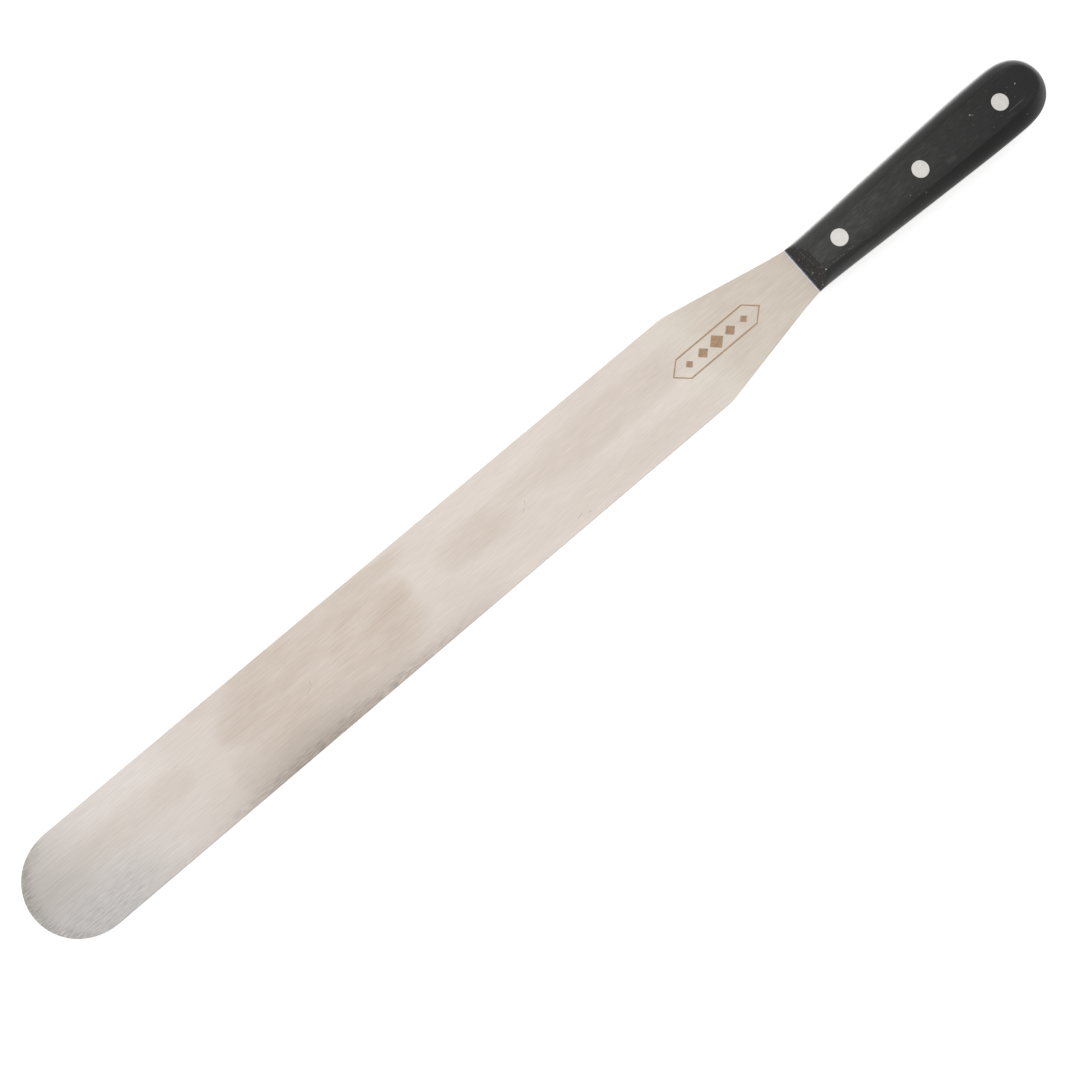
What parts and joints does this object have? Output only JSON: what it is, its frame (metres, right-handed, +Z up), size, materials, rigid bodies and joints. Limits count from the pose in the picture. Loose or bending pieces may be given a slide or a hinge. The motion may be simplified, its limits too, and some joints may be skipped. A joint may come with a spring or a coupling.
{
  "type": "straight icing spatula",
  "caption": "Long straight steel icing spatula with a round tip, and riveted black scales over a full tang.",
  "frame": {"origin": "under the middle of the tool's box, on the plane that the handle's lower face rests on", "axes": "+X from the butt to the blade's tip, +Y across the blade, +Z up, square to the blade's faces"},
  "size_m": [0.4447, 0.0374, 0.016],
  "materials": {
    "blade_steel": "brushed along the blade, with a warm tint",
    "scale_plastic": "flat faces brushed along the handle, sides and ends buffed to a low sheen",
    "rivet_metal": "heads sanded flush, finely brushed"
  },
  "bodies": {
    "root": {"blade": "blade_steel", "upper_scale": "scale_plastic", "lower_scale": "scale_plastic", "front_rivet_socket": "rivet_metal", "middle_rivet_socket": "rivet_metal", "rear_rivet_socket": "rivet_metal", "front_rivet_pin": "rivet_metal", "middle_rivet_pin": "rivet_metal", "rear_rivet_pin": "rivet_metal"}
  },
  "joints": []
}
